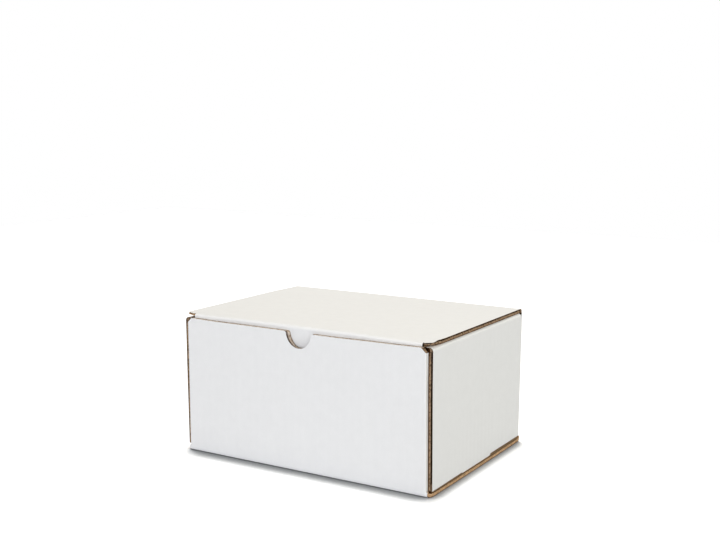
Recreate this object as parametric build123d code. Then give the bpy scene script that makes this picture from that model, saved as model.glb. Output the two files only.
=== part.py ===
"""Corrugated mailer box: one die-cut sheet of white-faced board, folded up, with a hinged tuck-in lid.

Frame: +Z up, the front wall faces -Y, the lid hinges along the top of the back wall.
The origin is the middle of the underside, on the surface that the box stands on.
"""
import math
import os

from build123d import *

# Driving sizes, in millimetres and degrees
BOX_WIDTH = 213.0  # over the outer side panels
BOX_DEPTH = 156.0  # from the front face to the back face
BOX_HEIGHT = 108.0  # from the floor to the top of the lid
BOARD = 3.1  # thickness of the board
FOLD_RADIUS = 2.4  # outer radius of a square fold
CREASE_RADIUS = 0.5  # inner radius of a square fold
SLIP = 0.2  # play between panels that lie against each other

# Front wall and its corner flaps
WALL_CHAMFER = 3.6  # corner cut at each end of the front wall's top edge
NOTCH_RADIUS = 12.0  # thumb notch in the front wall's top edge
NOTCH_LIP_RADIUS = 2.0  # where the notch runs out into the top edge
CORNER_FLAP_LENGTH = 46.0  # from the front face, along the side wall
CORNER_FLAP_TOP_GAP = 9.0  # below the underside of the roll-over
CORNER_FLAP_TAPER = 8.0  # fall of the flap's top and bottom edges towards its free end
CORNER_RELIEF = 4.6  # height of the cut that frees a corner flap from the bottom panel
BOTTOM_CORNER_CUT = 3.0  # slanting cut across the bottom panel's front corners

# Double side walls, rolled over at the top
SIDE_SETBACK = 3.0  # the side panel's front edge, behind the front face
ROLL_RADIUS = 2.8  # outer radius of the two folds of the roll-over
SIDE_FLOOR_GAP = 1.1  # the side panel's bottom edge, above the bottom panel
SIDE_FOOT_LENGTH = 50.0  # the middle of that edge, which reaches lower
SIDE_FOOT_RUN_OUT = 1.5  # sloping ends of the foot
TAB_LENGTH = 30.0  # locking tabs of the inner panel, in slots of the bottom panel
TAB_SPACING = 74.0  # between the middles of the two tabs of a side
TAB_RECESS = 0.4  # the tab's end, above the box's underside
TAB_END_CUT = 1.6  # cut corners that lead the tab into its slot

# Lid and tuck flap
LID_INSET = 1.25  # the lid's side edge, inside the side panel's face
LID_CORNER_RADIUS = 1.2  # the lid's front corners, over the side walls
LID_CORNER_SLIT = 1.2  # slanting slit between a front corner and the tuck flap's fold
TUCK_LENGTH = 30.0  # from the top of the lid to the flap's free edge
TUCK_SIDE_GAP = 1.0  # between the flap's side and the corner flap
TUCK_FRONT_GAP = 0.5  # between the flap and the front wall, at the fold
TUCK_LEAN = 6.5  # the flap's lean away from the front wall, in degrees
TUCK_CORNER_RADIUS = 11.0  # free corners of the flap
TUCK_INNER_GAP = 1.5  # between the leaning flap and the inner side panels
REST_GAP = 0.3  # between the lid and the wall tops that it lies on

# Levels and planes that follow from the driving sizes
FRONT = -BOX_DEPTH / 2
BACK = BOX_DEPTH / 2
SIDE = BOX_WIDTH / 2
LID_UNDERSIDE = BOX_HEIGHT - BOARD
WALL_TOP = LID_UNDERSIDE - REST_GAP
SIDE_BOTTOM = BOARD + SIDE_FLOOR_GAP
ROLL_START = WALL_TOP - BOARD - CREASE_RADIUS
FRONT_HALF_WIDTH = SIDE - BOARD - SLIP
CORNER_FLAP_INNER_FACE = FRONT_HALF_WIDTH - BOARD
INNER_PANEL_OUTER_FACE = CORNER_FLAP_INNER_FACE - SLIP
INNER_PANEL_INNER_FACE = INNER_PANEL_OUTER_FACE - BOARD
LID_HALF_WIDTH = SIDE - LID_INSET
TUCK_HALF_WIDTH = CORNER_FLAP_INNER_FACE - TUCK_SIDE_GAP
TUCK_FACE = FRONT + BOARD + TUCK_FRONT_GAP
TUCK_REACH = TUCK_LENGTH * math.sin(math.radians(TUCK_LEAN)) + BOARD
INNER_PANEL_FRONT = TUCK_FACE + TUCK_REACH + TUCK_INNER_GAP
INNER_PANEL_REAR = BACK - BOARD - SLIP - CREASE_RADIUS

# The lid turns about the outermost line of the rounded fold at the back
HINGE_INSET = FOLD_RADIUS * (1 - math.cos(math.radians(45)))
HINGE_Y = BACK - HINGE_INSET
HINGE_Z = BOX_HEIGHT - HINGE_INSET


def both_sides(shape):
    """A shape and its mirror image across the box's middle plane."""
    return shape + mirror(shape, about=Plane.YZ)


def span(x_range, y_range, z_range):
    """A block between two values along each axis."""
    size = [high - low for low, high in (x_range, y_range, z_range)]
    middle = [(high + low) / 2 for low, high in (x_range, y_range, z_range)]
    return Pos(*middle) * Box(*size)


def folded_profile(width, height, outer_radius):
    """Section of a panel with a square fold at each end, centred, open towards +Y of the sketch plane."""
    outer = RectangleRounded(width, 2 * height, outer_radius)
    inner = RectangleRounded(width - 2 * BOARD, 2 * (height - BOARD), CREASE_RADIUS)
    upper_half = Pos(0, height) * Rectangle(2 * width, 2 * height)
    return outer - inner - upper_half


def bottom_panel():
    """The bottom with its two long edges folded up, as far as the corner cuts."""
    section = Plane.YZ * Pos(0, BOX_HEIGHT) * folded_profile(BOX_DEPTH, BOX_HEIGHT, FOLD_RADIUS)
    tray = extrude(section, SIDE, both=True)
    above_front = span((-BOX_WIDTH, BOX_WIDTH), (-BOX_DEPTH, 0), (CORNER_RELIEF, 2 * BOX_HEIGHT))
    above_back = span((-BOX_WIDTH, BOX_WIDTH), (0, BOX_DEPTH), (SIDE_BOTTOM, 2 * BOX_HEIGHT))
    corner_start = FRONT + BOARD + BOTTOM_CORNER_CUT
    corner_cut = make_face(
        Polyline(
            (FRONT_HALF_WIDTH, FRONT - BOARD),
            (FRONT_HALF_WIDTH, FRONT + FOLD_RADIUS),
            (SIDE, corner_start),
            (SIDE + BOARD, corner_start),
            (SIDE + BOARD, FRONT - BOARD),
            close=True,
        )
    )
    return tray - above_front - above_back - both_sides(extrude(corner_cut, BOX_HEIGHT))


def front_wall():
    """The front wall above its fold, with a corner flap folded back at each end."""
    section = folded_profile(2 * FRONT_HALF_WIDTH, CORNER_FLAP_LENGTH, FOLD_RADIUS)
    section = Pos(0, FRONT + CORNER_FLAP_LENGTH) * section
    wall = Pos(0, 0, CORNER_RELIEF) * extrude(section, WALL_TOP - CORNER_RELIEF)
    return wall - both_sides(corner_flap_trim()) - both_sides(wall_corner_cut()) - thumb_notch()


def corner_flap_trim():
    """What is cut from above and below a corner flap, so that it slopes towards its free end."""
    flap_start = FRONT + BOARD
    flap_end = FRONT + CORNER_FLAP_LENGTH
    flap_top = WALL_TOP - BOARD - CORNER_FLAP_TOP_GAP
    above = Polyline(
        (flap_start, WALL_TOP + BOARD),
        (flap_start, flap_top),
        (flap_end, flap_top - CORNER_FLAP_TAPER),
        (flap_end, WALL_TOP + BOARD),
        close=True,
    )
    below = Polyline(
        (flap_start, 0),
        (flap_start, CORNER_RELIEF),
        (flap_end, CORNER_RELIEF + CORNER_FLAP_TAPER),
        (flap_end, 0),
        close=True,
    )
    trim = Plane.YZ * (make_face(above) + make_face(below))
    return Pos(FRONT_HALF_WIDTH, 0, 0) * extrude(trim, 2 * BOARD, both=True)


def wall_corner_cut():
    """The slanting cut at one end of the front wall's top edge."""
    corner = Polyline(
        (FRONT_HALF_WIDTH - WALL_CHAMFER, WALL_TOP),
        (FRONT_HALF_WIDTH, WALL_TOP - WALL_CHAMFER),
        (FRONT_HALF_WIDTH + BOARD, WALL_TOP),
        close=True,
    )
    return Pos(0, FRONT, 0) * extrude(Plane.XZ * make_face(corner), 2 * BOARD, both=True)


def thumb_notch():
    """Half-round notch in the middle of the front wall's top edge, with rounded lips."""
    above_edge = Pos(0, 2 * NOTCH_RADIUS) * Rectangle(4 * NOTCH_RADIUS, 4 * NOTCH_RADIUS)
    outline = Circle(NOTCH_RADIUS) + above_edge
    outline = fillet(outline.vertices().sort_by_distance((0, 0))[:2], NOTCH_LIP_RADIUS)
    return Pos(0, FRONT, WALL_TOP) * extrude(Plane.XZ * outline, 2 * BOARD, both=True)


def back_and_outer_sides():
    """The back wall above its fold, with an outer side panel folded forward at each end."""
    side_length = BACK - FRONT - SIDE_SETBACK
    section = Rot(0, 0, 180) * folded_profile(BOX_WIDTH, side_length, FOLD_RADIUS)
    section = Pos(0, BACK - side_length) * section
    panels = Pos(0, 0, SIDE_BOTTOM) * extrude(section, BOX_HEIGHT - SIDE_BOTTOM)
    roll_zone = span((CORNER_FLAP_INNER_FACE, BOX_WIDTH), (FRONT, BACK - BOARD), (ROLL_START, BOX_HEIGHT))
    corner_top = span((LID_HALF_WIDTH, BOX_WIDTH), (FRONT, BOX_DEPTH), (WALL_TOP, BOX_HEIGHT))
    return panels - both_sides(roll_zone + corner_top) - back_rounding() - hinge_mitre(above=True)


def hinge_mitre(above):
    """The wedge on one side of the slanting plane that parts the lid from the back wall."""
    crease = Vector(BACK - BOARD, LID_UNDERSIDE)
    beyond = Vector(BACK + BOARD, BOX_HEIGHT + BOARD)
    third = (crease.X, beyond.Y) if above else (beyond.X, crease.Y)
    wedge = make_face(Polyline(crease, beyond, third, close=True))
    return extrude(Plane.YZ * wedge, BOX_WIDTH, both=True)


def side_feet():
    """The middle of each side panel's bottom edge, which reaches down to the bottom panel."""
    foot = Polyline(
        (-SIDE_FOOT_LENGTH / 2 - SIDE_FOOT_RUN_OUT, SIDE_BOTTOM),
        (-SIDE_FOOT_LENGTH / 2, BOARD + SLIP),
        (SIDE_FOOT_LENGTH / 2, BOARD + SLIP),
        (SIDE_FOOT_LENGTH / 2 + SIDE_FOOT_RUN_OUT, SIDE_BOTTOM),
        close=True,
    )
    return both_sides(Pos(SIDE - BOARD, 0, 0) * extrude(Plane.YZ * make_face(foot), BOARD))


def rolled_sides():
    """The roll-over of each side wall and its inner panel, cut back where the tuck flap goes in."""
    roll_width = SIDE - INNER_PANEL_INNER_FACE
    roll_middle = (SIDE + INNER_PANEL_INNER_FACE) / 2
    section = Rot(0, 0, 180) * folded_profile(roll_width, WALL_TOP - BOARD - SLIP, ROLL_RADIUS)
    section = Plane.XZ * Pos(roll_middle, BOARD + SLIP) * section
    roll_front = FRONT + SIDE_SETBACK
    roll = Pos(0, INNER_PANEL_REAR, 0) * extrude(section, INNER_PANEL_REAR - roll_front)
    below_roll = span((INNER_PANEL_OUTER_FACE, BOX_WIDTH), (-BOX_DEPTH, BOX_DEPTH), (0, ROLL_START))
    tuck_room = span((0, CORNER_FLAP_INNER_FACE), (-BOX_DEPTH, INNER_PANEL_FRONT), (0, BOX_HEIGHT))
    return both_sides(roll - below_roll - tuck_room)


def tab_places():
    """The middles of the two locking tabs of a side wall."""
    return [Pos(0, -TAB_SPACING / 2, 0), Pos(0, TAB_SPACING / 2, 0)]


def tab_slots():
    """Slots in the bottom panel for the locking tabs of both inner panels."""
    x_range = (INNER_PANEL_INNER_FACE - SLIP, INNER_PANEL_OUTER_FACE + SLIP)
    half_length = TAB_LENGTH / 2 + SLIP
    slot = span(x_range, (-half_length, half_length), (-BOARD, 2 * BOARD))
    return both_sides(Part() + [place * slot for place in tab_places()])


def locking_tabs():
    """Tabs on the bottom edge of each inner panel."""
    half_length = TAB_LENGTH / 2
    outline = Polyline(
        (-half_length, BOARD + SLIP),
        (-half_length, TAB_RECESS + TAB_END_CUT),
        (-half_length + TAB_END_CUT, TAB_RECESS),
        (half_length - TAB_END_CUT, TAB_RECESS),
        (half_length, TAB_RECESS + TAB_END_CUT),
        (half_length, BOARD + SLIP),
        close=True,
    )
    tab = Pos(INNER_PANEL_INNER_FACE, 0, 0) * extrude(Plane.YZ * make_face(outline), BOARD)
    return both_sides(Part() + [place * tab for place in tab_places()])


def box_body():
    """Everything but the lid: one folded piece, standing on its bottom panel."""
    folded = bottom_panel() - tab_slots()
    return folded + front_wall() + back_and_outer_sides() + side_feet() + rolled_sides() + locking_tabs()


def lid():
    """The lid panel and the narrower tuck flap that hangs from its front fold."""
    fold_start = TUCK_FACE + FOLD_RADIUS
    slit = TUCK_HALF_WIDTH + LID_CORNER_SLIT
    outline = Polyline(
        (-LID_HALF_WIDTH, BACK),
        (-LID_HALF_WIDTH, TUCK_FACE),
        (-slit, TUCK_FACE),
        (-TUCK_HALF_WIDTH, fold_start),
        (TUCK_HALF_WIDTH, fold_start),
        (slit, TUCK_FACE),
        (LID_HALF_WIDTH, TUCK_FACE),
        (LID_HALF_WIDTH, BACK),
        close=True,
    )
    sheet = make_face(outline)
    front_corners = sheet.vertices().group_by(Axis.Y)[0].sort_by(Axis.X)
    sheet = fillet([front_corners[0], front_corners[-1]], LID_CORNER_RADIUS)
    panel = Pos(0, 0, LID_UNDERSIDE) * extrude(sheet, BOARD)
    return panel - back_rounding() - hinge_mitre(above=False) + tuck_flap()


def back_rounding():
    """What the rounded fold between the back wall and the lid takes off their square corner."""
    fold_centre = Pos(BACK - FOLD_RADIUS, BOX_HEIGHT - FOLD_RADIUS)
    square = Pos(BOARD, BOARD) * Rectangle(2 * BOARD, 2 * BOARD)
    return extrude(Plane.YZ * fold_centre * (square - Circle(FOLD_RADIUS)), BOX_WIDTH, both=True)


def tuck_flap():
    """The flap with its rounded fold, leaning back from the front wall."""
    fold_centre = Vector(TUCK_FACE + FOLD_RADIUS, BOX_HEIGHT - FOLD_RADIUS)
    outward = Vector(-1, 0).rotate(Axis.Z, TUCK_LEAN)
    downward = outward.rotate(Axis.Z, 90)
    fold_top = fold_centre + Vector(0, FOLD_RADIUS)
    fold_end = fold_centre + outward * FOLD_RADIUS
    tip = fold_end + downward * (TUCK_LENGTH - FOLD_RADIUS)
    inner_tip = tip - outward * BOARD
    inner_top = inner_tip - downward * ((LID_UNDERSIDE - inner_tip.Y) / -downward.Y)
    outline = RadiusArc(fold_top, fold_end, FOLD_RADIUS) + Polyline(
        fold_end, tip, inner_tip, inner_top, (inner_top.X, BOX_HEIGHT), fold_top
    )
    flap = extrude(Plane.YZ * make_face(outline), TUCK_HALF_WIDTH, both=True)
    across = Axis((0, 0, 0), (0, outward.X, outward.Y))
    return fillet(flap.edges().filter_by(across), TUCK_CORNER_RADIUS)


if __name__ == "__main__":
    os.makedirs("parts", exist_ok=True)
    export_step(box_body(), "parts/box_body.step")
    export_step(lid(), "parts/lid.step")
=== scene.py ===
"""Corrugated mailer box: the folded board built up from its liners and fluted paper, lit on a white floor.

Lengths are in millimetres until a mesh is made, and in metres for the floor, the lamps and the camera.
The frame is the CAD frame: +Z up, front towards -Y.
"""
import math

import bmesh
import bpy
import numpy as np
from mathutils import Matrix, Vector, noise


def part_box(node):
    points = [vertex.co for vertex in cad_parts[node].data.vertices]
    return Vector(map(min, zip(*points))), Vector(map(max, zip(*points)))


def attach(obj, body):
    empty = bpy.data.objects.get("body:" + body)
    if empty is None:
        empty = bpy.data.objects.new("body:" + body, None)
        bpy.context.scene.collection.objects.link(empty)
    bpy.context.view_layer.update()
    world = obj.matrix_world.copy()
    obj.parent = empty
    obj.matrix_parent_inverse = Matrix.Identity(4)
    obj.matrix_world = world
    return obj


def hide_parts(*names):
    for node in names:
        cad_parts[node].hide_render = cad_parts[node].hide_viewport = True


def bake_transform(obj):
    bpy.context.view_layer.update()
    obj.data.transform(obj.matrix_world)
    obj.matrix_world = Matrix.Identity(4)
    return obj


MM = 0.001

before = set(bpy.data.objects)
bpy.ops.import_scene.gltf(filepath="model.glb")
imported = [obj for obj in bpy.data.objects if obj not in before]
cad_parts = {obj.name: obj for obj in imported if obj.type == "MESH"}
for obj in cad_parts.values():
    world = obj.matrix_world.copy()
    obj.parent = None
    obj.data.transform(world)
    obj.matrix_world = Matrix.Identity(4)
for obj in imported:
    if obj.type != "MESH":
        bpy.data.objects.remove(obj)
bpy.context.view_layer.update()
body_low, body_high = [[value / MM for value in corner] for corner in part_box("box_body")]
_, lid_high = [[value / MM for value in corner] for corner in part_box("lid")]

# Board and folds
BOARD = 3.1
LINER = 0.25
LINER_SHARE = LINER / BOARD
FLUTE_PITCH = 6.4
FLUTE_SAMPLES = 12  # points on each wave of the fluted paper
FLUTE_REACH = 5.0  # how far in from a cut edge the fluted paper is made
FLUTE_INSET = 0.03  # where it starts behind the edge, as a share of the way to the next row of points
FLUTE_GAP = 0.02  # between its crests and the liners, as a share of the board
FOLD_RADIUS = 2.4
CORNER_FOLD_RADIUS = 0.7
CREASE_RADIUS = 0.5
FOLD_STEPS = 10
SLIP = 0.2  # between panels that lie side by side
STEP = 0.01  # between two rows of points that make a sharp step
WELD = 0.004  # points closer than this are joined
SHARP_ANGLE = math.radians(32)  # faces that meet at more than this are shaded with an edge

# Panels of the folded sheet
WALL_CHAMFER = 3.6
NOTCH_RADIUS = 10.9
NOTCH_STRETCH = 1.08  # the notch is a little deeper than round
NOTCH_LIP_RADIUS = 1.8
NOTCH_SLANT = 1.3  # the inner liner, pressed out past the outer one at the notch's sides
CORNER_FLAP_LENGTH = 46.0
CORNER_FLAP_TOP_GAP = 9.0
CORNER_FLAP_TAPER = 8.0
CORNER_RELIEF = 3.8
CORNER_SETBACK = 0.06  # the bottom's fold, behind the corner flap's fold
CORNER_SETBACK_LEVEL = 1.0  # where on the fold that begins
CORNER_OVERLAP = 0.5  # how far the bottom's fold is overlapped
BOTTOM_FRONT_INSET = 2.2
BOTTOM_CORNER_CUT = 3.0
BOTTOM_CORNER_START = 0.3  # where its slanting front corners start, as a share of the fold's radius
SIDE_SETBACK = 3.0
ROLL_RADIUS = 2.8
ROLL_BOARD = 1.3  # the roll-over's board, crushed between its two folds
SIDE_FLOOR_GAP = 1.1
SIDE_FOOT = (-27.0, 21.0)
SIDE_FOOT_GAP = 0.45
SIDE_FOOT_RUN_OUT = 1.0
SIDE_REAR_RISE = 0.7  # the side panel's lower edge is this much higher behind the foot than before it
TAB_LENGTH = 30.0
TAB_SPACING = 74.0
TAB_RECESS = 0.4
TAB_END_CUT = 1.6
LID_CORNER_RADIUS = 1.2
LID_CORNER_SLIT = 1.2
LID_FOLD_RADIUS = 2.1
TUCK_LENGTH = 30.0
TUCK_SIDE_GAP = 1.0
TUCK_FRONT_GAP = 0.5
TUCK_LEAN = math.radians(6.5)
TUCK_CORNER_RADIUS = 11.0
TUCK_INNER_GAP = 1.5
REST_GAP = 0.3

# Rows and columns of points on the panels
PLACE_DIGITS = 4  # places that are the same to so many digits are one place
NOTCH_STEPS = 14
LIP_STEPS = 8
LIP_TURN = math.radians(81)
WIDE_STEPS = 10  # from the notch to the slots
BOTTOM_CORNER_STEPS = 6
BOTTOM_ROWS = (-60, 70, 14)  # first place, last place and number
SIDE_STEPS = 14
SIDE_CROWDING = 0.3  # how closely the places lie where the inner side panel is cut back
CORNER_FLAP_STEPS = 6
LID_BACK_ROW = 5.0  # from the crease to the first of the lid's even rows
LID_EVEN_END = 9.0  # from the last even row to the front fold
LID_EVEN_ROWS = 16
LID_CLOSE_START = 7.0  # from the first close row to the front fold
LID_CLOSE_ROWS = 4
LID_CORNER_STEPS = 5
TUCK_FIRST_ROW = 1.5
TUCK_ROWS = 5
TUCK_CORNER_STEPS = 10
CREASE_ANGLES = [0, 12, 24, 33, 39, 41, 42.5, 44, 45, 46, 47.5, 49, 51, 57, 66, 78, 90]
CREASE_INNER_TURN = (39, 12)  # the angle at which the crease's inner face starts to turn, and its turn
CREASE_COLUMNS = 43
WALL_SHARES = np.array([0, 0.05, 0.2, 0.35, 0.5, 0.65, 0.8, 0.95, 1])
TUCK_SHARES = np.linspace(-1, 1, 41)
RIM_SHARES = np.array([0.28, 0.54, 0.77, 1])  # places across the back wall's and the bottom's rims
EAR_SHARES = np.array([0, 0.18, 0.36, 1])  # places across one of the lid's front corners

# Unevenness of the folded box
TOP_SAG = 0.4  # the front wall's top edge, between its ends
TOP_SAG_RIGHT = 0.4  # and again right of the notch
TOP_SAG_RIGHT_PLACE = 24.0
TOP_LEAN_FRONT = -0.8  # sideways lean of the walls' top, at the front
TOP_LEAN_BACK = 0.8  # and at the back
FRONT_DRAWN_IN = 0.25  # the front wall's left edge, drawn in
FRONT_LEAN_MIDDLE = -0.55  # the front wall's own sideways lean, in its middle
FRONT_LEAN_RIGHT = -0.4  # and at its right edge
FRONT_LEAN_PLACES = [-100, -30, 30, 100]
LID_SINK = 0.9  # the ends of the lid's front fold, pulled down by the tuck flap
LID_SPREAD_FRONT = 0.9  # the lid's left edge, further out at the front
LID_SPREAD_BACK = 1.3  # and at the back
LID_LIFT = 0.5  # the lid's left edge, risen
LID_LIFT_GAP = 8.0  # how far before the back the rise begins
LID_HUMP = 0.5  # the lid's right edge, raised behind its front corner
LID_HUMP_PLACE = -66.0
LID_HUMP_LENGTH = 3.5
LID_CORNER_CRUSH = 1.5  # the lid's front corners, crushed thinner
TUCK_PINCH = 1.6  # the right end of the lid's front fold, drawn in
TUCK_PINCH_START = 80.0
TUCK_BULGE = 0.35  # the tuck flap's top, pressed towards the front wall
TUCK_BOW = 1.0  # the tuck flap's middle, bowed towards the thumb notch
SIDE_BULGE_LEFT = 0.6  # the left side panel's front edge, standing out near the top
SIDE_BULGE_RIGHT = 0.3  # and the right one's, all the way up
BOTTOM_BELLY = 0.4  # the bottom panel's cut edges, standing out in the middle
PANEL_SWAY = 0.2
SWAY_LENGTH = 70.0
SWAY_SEED = 1795881142  # fixes the sway, so that every run gives the same box
EDGE_MARGIN = 0.1  # tells a panel's edge from the panel beside it

# Where the unevenness sets in or fades, as the place at which that starts and the length that it takes
TOP_SAG_FADE = (75, 25)
TOP_SAG_RIGHT_FADE = (6, 36)
NOTCH_SLANT_FADE = (1, 6)
CORNER_SETBACK_FADE = (0, 40)
SWAY_ONSET = (0, 20)
SIDE_BULGE_RISE = (15, 60)
SIDE_BULGE_BAND = (103, 3.4)
SIDE_BULGE_FRONT = (20, 45)
BELLY_BAND = (101, 4)
LID_FRONT = (66, 7)
LID_SINK_ONSET = (35, 55)
LID_CRUSH_BAND = (97, 3)
LID_HUMP_BAND = (99, 5)
LID_SPREAD_BAND = (97, 8)
TUCK_BOW_FADE = (18, 35)
TUCK_BOW_FOOT = (80, 10)

# The length alone, where the place is one of the levels and planes below
CORNER_OVERLAP_ONSET = 0.3
CORNER_OVERLAP_FADE = 1.5
MEDIUM_BLEND = 2.0
SWAY_FADE = 15.0
FRONT_LEAN_ONSET = 1.5
LID_SINK_FADE = 6.0
LID_LIFT_ONSET = 30.0
LID_LEAN_ONSET = 60.0
TUCK_PINCH_FADE = 5.0
TUCK_BULGE_FADE = 14.0
TUCK_BOW_ONSET = 12.0

# Levels and planes, from the frame and the lengths above
FRONT = body_low[1]
BACK = body_high[1]
SIDE = body_high[0]
HEIGHT = lid_high[2]
LID_UNDERSIDE = HEIGHT - BOARD
WALL_TOP = LID_UNDERSIDE - REST_GAP
SIDE_BOTTOM = BOARD + SIDE_FLOOR_GAP
SIDE_EDGE = FRONT + SIDE_SETBACK - EDGE_MARGIN
FOOT_LEVELS = [SIDE_BOTTOM, BOARD + SIDE_FOOT_GAP, BOARD + SIDE_FOOT_GAP, SIDE_BOTTOM + SIDE_REAR_RISE]
ROLL_START = WALL_TOP - BOARD - CREASE_RADIUS
FRONT_HALF_WIDTH = SIDE - BOARD - SLIP
FRONT_FLAT = FRONT_HALF_WIDTH - CORNER_FOLD_RADIUS
BACK_FLAT = SIDE - FOLD_RADIUS
CORNER_FLAP_INNER_FACE = FRONT_HALF_WIDTH - BOARD
INNER_PANEL_OUTER_FACE = CORNER_FLAP_INNER_FACE - SLIP
INNER_PANEL_INNER_FACE = INNER_PANEL_OUTER_FACE - BOARD
SLOT_SIDES = (INNER_PANEL_INNER_FACE - SLIP, INNER_PANEL_OUTER_FACE + SLIP)
TAB_MIDDLES = (-TAB_SPACING / 2, TAB_SPACING / 2)
TAB_MARKS = [TAB_LENGTH / 2 - TAB_END_CUT, TAB_LENGTH / 2, TAB_LENGTH / 2 + STEP]
LID_HALF_WIDTH = lid_high[0]
TUCK_HALF_WIDTH = CORNER_FLAP_INNER_FACE - TUCK_SIDE_GAP
TUCK_FACE = FRONT + BOARD + TUCK_FRONT_GAP
INNER_PANEL_FRONT = TUCK_FACE + TUCK_LENGTH * math.sin(TUCK_LEAN) + BOARD + TUCK_INNER_GAP
INNER_PANEL_REAR = BACK - BOARD - SLIP - CREASE_RADIUS
HINGE_SPAN = HEIGHT - WALL_TOP
LID_BACK = BACK - HINGE_SPAN

# Order of the finishes on every piece of board
# The fifth finish is near-black kraft, painted shade for the hollows inside the board and the lines at the
# liners' cuts.
# The fourth finish is a lighter copy of the kraft edge: painted light.
# The last finish is a darker copy of the worn edge: painted shade for the thumb notch's sides.
WHITE, KRAFT, EDGE, LIT_EDGE, SHADED_CORE, WORN_EDGE, NOTCH_SHADE = range(7)

# At an edge along the flutes, the liner that the last flank of fluted paper meets there, and how far in from
# the edge it reaches which shares of the way to the other liner
OUTER_LINER, INNER_LINER = range(2)
FLUSH_FLANK = (OUTER_LINER, [0.05, 0.3, 1.2, 2.4], [0, 0.71, 0.65, 0.28])
DEEP_FLANK = (INNER_LINER, [0.5, 0.8, 1.8, 5.0], [0, 0.41, 0.28, 0.02])
LEFT_FLANK = (OUTER_LINER, [0.3, 0.6, 1.8, 5.0], [0, 0.7, 0.5, 0.02])
ROLL_FLANK = (INNER_LINER, [0.9, 1.2, 2.5, 5.0], [0, 0.45, 0.3, 0.05])
LID_FLANK = (INNER_LINER, [0.2, 0.45, 1.4, 4.0], [0, 0.58, 0.4, 0.02])
FLANK_WANDER = 0.16  # how much the share varies along the edge
FLANK_WANDER_LENGTH = 6.0
FLANK_STEP = 2.0
FLANK_GAP = 0.05  # between the flank and the liners, as a share of the board
FLANK_HALF = 0.4  # half the flank's thickness, as a share of a liner's

# Where the fluted paper lies between the liners behind an edge across the flutes, and half its thickness
# there, as shares of the board
THIN_MEDIUM = (0.5, 0.032)
CRUSHED_MEDIUM = (0.5, 0.18)
PRESSED_MEDIUM = (0.68, 0.19)
FLAT_MEDIUM = (0.56, 0.31)

# A patch's sides, with the step in rows and columns from a cell to the one beside it
BESIDE = {"first_row": (-1, 0), "last_column": (0, 1), "last_row": (1, 0), "first_column": (0, -1)}
BOTH_SIDES = ["first_column", "last_column"]

# Scale of the noise in the paper, and the look of cut edges
CLOUD_SCALE = 150
FIBRE_SCALE = 900
FIBRE_STRETCH = (1, 1, 0.35)
GRAIN_SCALE = 1400
BLOTCH_SCALE = 650
EDGE_FIBRE_SCALE = 2600
TEAR_SCALE = 1800
TEAR_HEIGHT = 0.12
EDGE_ROUGHNESS = 0.9
EDGE_SPECULAR = 0.05

# White floor, with a contact shadow that reaches further in front of the box than beside it
FLOOR_SIZE = 3
FLOOR_COLOUR = (0.72, 0.73, 0.75)
FLOOR_GAIN = (1.36, 1.38, 1.41)
CONTACT_REACH_FRONT = 21
CONTACT_REACH_SIDE = 15
CONTACT_REACH_BLEND = 4
CONTACT_NORMAL = (-0.43, 0.58, 0.69)  # up and away from the camera, towards the box
CONTACT_SAMPLES = 16
CONTACT_SHADES = [(0.2, 0.12), (0.4, 0.23), (0.47, 0.31), (0.54, 0.43), (0.6, 0.56), (0.66, 0.68),
                  (0.74, 0.80), (0.85, 0.92), (1.0, 1.0)]

# Light and camera
SKY_COLOUR = (0.97, 0.985, 1.0)
SKY_STRENGTH = 0.25
SUN_SPREAD = math.radians(9)
SUN_PLACE = (-0.08, 0.13, 1.5)
LAMP_TARGET = (0, 0, 0.05)
CAMERA_PLACE = (0.433787, -0.718520, 0.263399)
CAMERA_TURN = (30.9105, 8.3636, 0.2093)  # yaw, pitch down and roll, in degrees
CAMERA_LENS = 54.7605
SENSOR_WIDTH = 36.0


class Patch:
    """A stretch of board between an outer and an inner surface, as two grids of points.

    Rows follow each other along the flutes and columns across them. The free sides are cut edges that show
    the flutes, and the gaps are cells that are left open. The medium is a pair of values, or a function that
    gives both at each distance across the flutes.
    """

    # By default both liners' cuts are near-black kraft: painted shade along the cut edges.
    def __init__(self, outer, inner, across, free=(), gaps=(), flank=FLUSH_FLANK, flutes=EDGE,
                 cuts=(SHADED_CORE, SHADED_CORE), medium=THIN_MEDIUM):
        self.outer = np.array(outer, float)
        self.inner = np.array(inner, float)
        self.across = np.broadcast_to(np.array(across, float), self.outer.shape[:2])
        self.free = set(free)
        self.gaps = set(gaps)
        self.flank = flank
        self.flutes = flutes
        self.cuts = cuts
        self.medium = medium

    def at(self, depth):
        """Points at a share of the way from the outer to the inner surface."""
        return self.outer * (1 - depth) + self.inner * depth

    def mirrored(self):
        """The same stretch on the left side of the box, where the last flank may meet the other liner."""
        flip = np.array([-1.0, 1.0, 1.0])
        flank = LEFT_FLANK if self.flank in (DEEP_FLANK, ROLL_FLANK) else self.flank
        return Patch(self.outer * flip, self.inner * flip, -self.across, self.free, self.gaps, flank,
                     self.flutes, self.cuts, self.medium)

    def is_open(self, row, column, side):
        """Whether a cell's side is a cut edge, at the patch's end or at a slot."""
        row_step, column_step = BESIDE[side]
        beside = (row + row_step, column + column_step)
        inside = 0 <= beside[0] < self.outer.shape[0] - 1 and 0 <= beside[1] < self.outer.shape[1] - 1
        return beside in self.gaps if inside else side in self.free


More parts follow.
